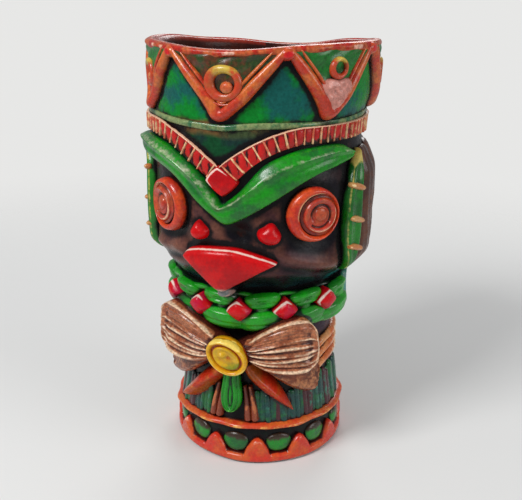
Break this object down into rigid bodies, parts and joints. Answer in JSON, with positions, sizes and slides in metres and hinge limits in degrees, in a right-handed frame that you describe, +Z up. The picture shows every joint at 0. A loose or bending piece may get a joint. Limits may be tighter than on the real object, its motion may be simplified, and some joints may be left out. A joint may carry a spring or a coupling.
{
  "type": "tiki mug",
  "caption": "Tall waisted ceramic mug whose outside is a carved figure: crown, browed bird-like face, garland, bow and skirt over an open drinking cavity.",
  "frame": {"origin": "centre of the foot, on the surface the mug stands on", "axes": "+Z up along the mug's axis, -Y the way the face looks, +X to the right of someone who looks at the face"},
  "size_m": [0.0902, 0.0926, 0.165],
  "materials": {
    "brown_glaze": "glossy dark brown glaze, mottled teal and black outside",
    "rim_glaze": "glossy orange-red glaze worn to cream on its edges",
    "panel_glaze": "speckled dark green glaze with brown wash",
    "rope_glaze": "orange-red glaze with yellow highlights",
    "rosette_glaze": "orange-red glaze fading to yellow and pink",
    "ridge_glaze": "cream and olive glaze",
    "headband_glaze": "dark red wash in the grooves",
    "rib_glaze": "bright red glaze with cream worn edges",
    "brow_glaze": "glossy bright green glaze with a cream crest",
    "eye_ring_glaze": "orange-red glaze",
    "eye_disc_glaze": "brick-red glaze with dark groove",
    "red_glaze": "smooth glossy red glaze",
    "chin_glaze": "greyish teal glaze",
    "ear_glaze": "green glaze with dark recesses",
    "ear_band_glaze": "orange and cream glaze",
    "hair_glaze": "purple-brown glaze in grooved locks",
    "cape_glaze": "teal glaze with a pink worn edge",
    "leaf_glaze": "bright green glaze with dark veins",
    "gem_glaze": "red to magenta glaze with cream edges",
    "bow_glaze": "tan, orange and brown speckled glaze with cream ridges",
    "under_lobe_glaze": "brown-red glaze",
    "knot_glaze": "golden yellow glaze with orange in the groove",
    "button_glaze": "yellow glaze with an olive centre",
    "tail_glaze": "orange and yellow glaze",
    "cloth_glaze": "bright green glaze with grooves",
    "fringe_glaze": "brown-orange glaze",
    "skirt_glaze": "dark teal glaze with maroon lines",
    "sash_glaze": "orange and pink glaze",
    "hem_glaze": "orange-red glaze, pink in places",
    "base_glaze": "red-orange glaze with cream highlights",
    "base_leaf_glaze": "dark green glaze"
  },
  "bodies": {
    "root": {"mug_body": "brown_glaze", "lip_coil": "rim_glaze", "crown_panels": "panel_glaze", "crown_ropes": "rope_glaze", "crown_rosettes": "rosette_glaze", "rosette_beads": "rosette_glaze", "wrap_ridge": "ridge_glaze", "headband": "headband_glaze", "headband_ribs": "rib_glaze", "headband_gem": "gem_glaze", "brow": "brow_glaze", "eye_ring_left": "eye_ring_glaze", "eye_ring_right": "eye_ring_glaze", "eye_disc_left": "eye_disc_glaze", "eye_disc_right": "eye_disc_glaze", "pupil_left": "eye_disc_glaze", "pupil_right": "eye_disc_glaze", "nose_knob_left": "red_glaze", "nose_knob_right": "red_glaze", "beak": "red_glaze", "chin": "chin_glaze", "ear_left": "ear_glaze", "ear_right": "ear_glaze", "ear_bands_left": "ear_band_glaze", "ear_bands_right": "ear_band_glaze", "hair_locks": "hair_glaze", "neck_cape": "cape_glaze", "garland_band": "leaf_glaze", "garland_gems": "gem_glaze", "garland_leaves_upper": "leaf_glaze", "garland_leaves_lower": "leaf_glaze", "bow_knot": "knot_glaze", "knot_ring": "knot_glaze", "knot_button": "button_glaze", "bow_lobe_left": "bow_glaze", "bow_lobe_right": "bow_glaze", "bow_under_lobe_left": "under_lobe_glaze", "bow_under_lobe_right": "under_lobe_glaze", "bow_tail_left": "tail_glaze", "bow_tail_right": "tail_glaze", "loin_cloth": "cloth_glaze", "fringe_strips": "fringe_glaze", "skirt_strands": "skirt_glaze", "sash_lower": "sash_glaze", "sash_middle": "sash_glaze", "sash_upper": "sash_glaze", "hem_cord": "hem_glaze", "base_band": "base_glaze", "base_leaves": "base_leaf_glaze"}
  },
  "joints": []
}
